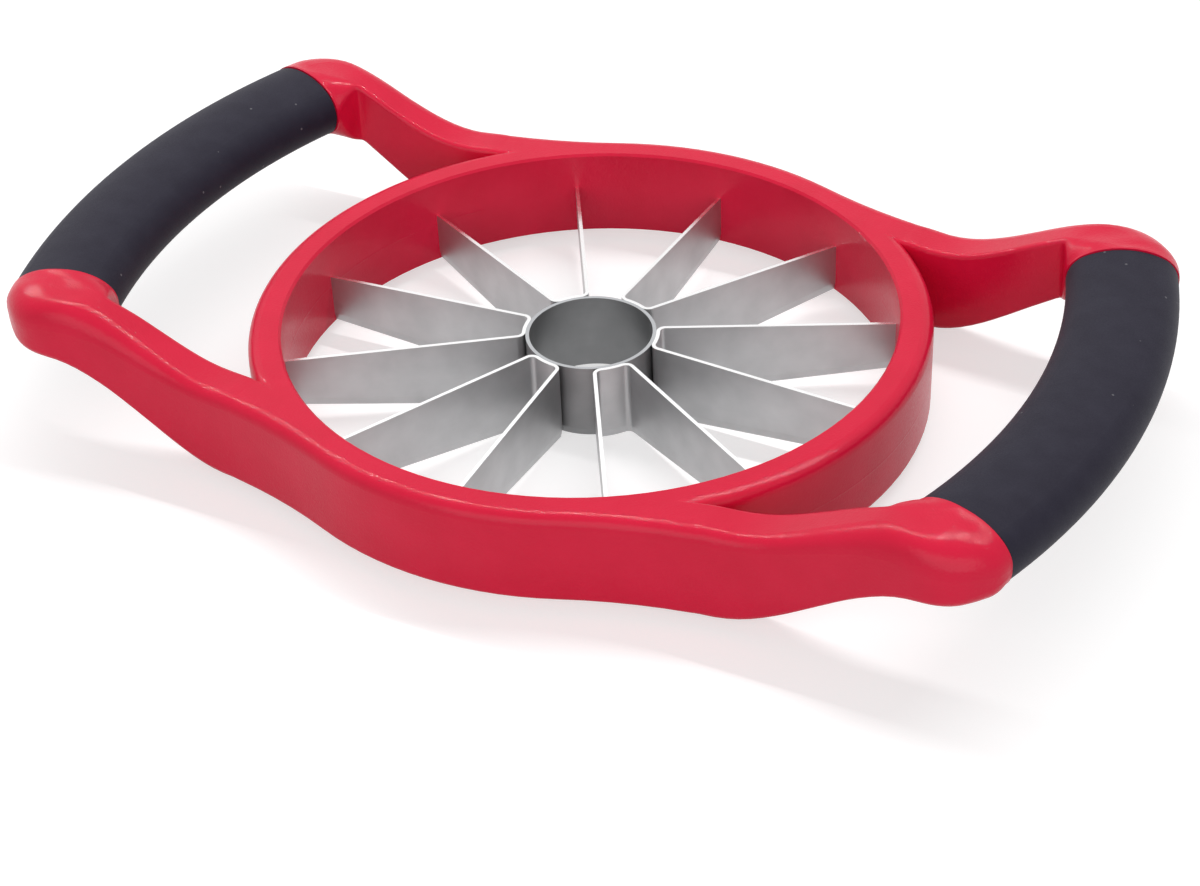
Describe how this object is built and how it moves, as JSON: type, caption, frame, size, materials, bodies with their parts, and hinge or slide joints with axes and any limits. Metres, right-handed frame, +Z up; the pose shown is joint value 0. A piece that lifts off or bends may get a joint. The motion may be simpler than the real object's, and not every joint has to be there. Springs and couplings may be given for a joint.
{
  "type": "apple slicer",
  "caption": "Rigid press-down apple slicer: round moulded rim with folded steel blades round a core tube, and a soft oval grip on each side.",
  "frame": {"origin": "middle of the rim at the level of the cutting edges that the slicer stands on", "axes": "+X from the middle to the right handle, +Y away from the user, +Z up out of the open top"},
  "size_m": [0.184, 0.1112, 0.0272],
  "materials": {
    "frame_plastic": "crimson satin moulding with a fine grain",
    "grip_rubber": "matte charcoal soft-touch overmoulding",
    "blade_steel": "satin stainless steel with ground edges"
  },
  "bodies": {
    "root": {"moulded_frame": "frame_plastic", "grip_right": "grip_rubber", "grip_left": "grip_rubber", "core_tube": "blade_steel", "blade_strip_1": "blade_steel", "blade_strip_2": "blade_steel", "blade_strip_3": "blade_steel", "blade_strip_4": "blade_steel", "blade_strip_5": "blade_steel", "blade_strip_6": "blade_steel"}
  },
  "joints": []
}
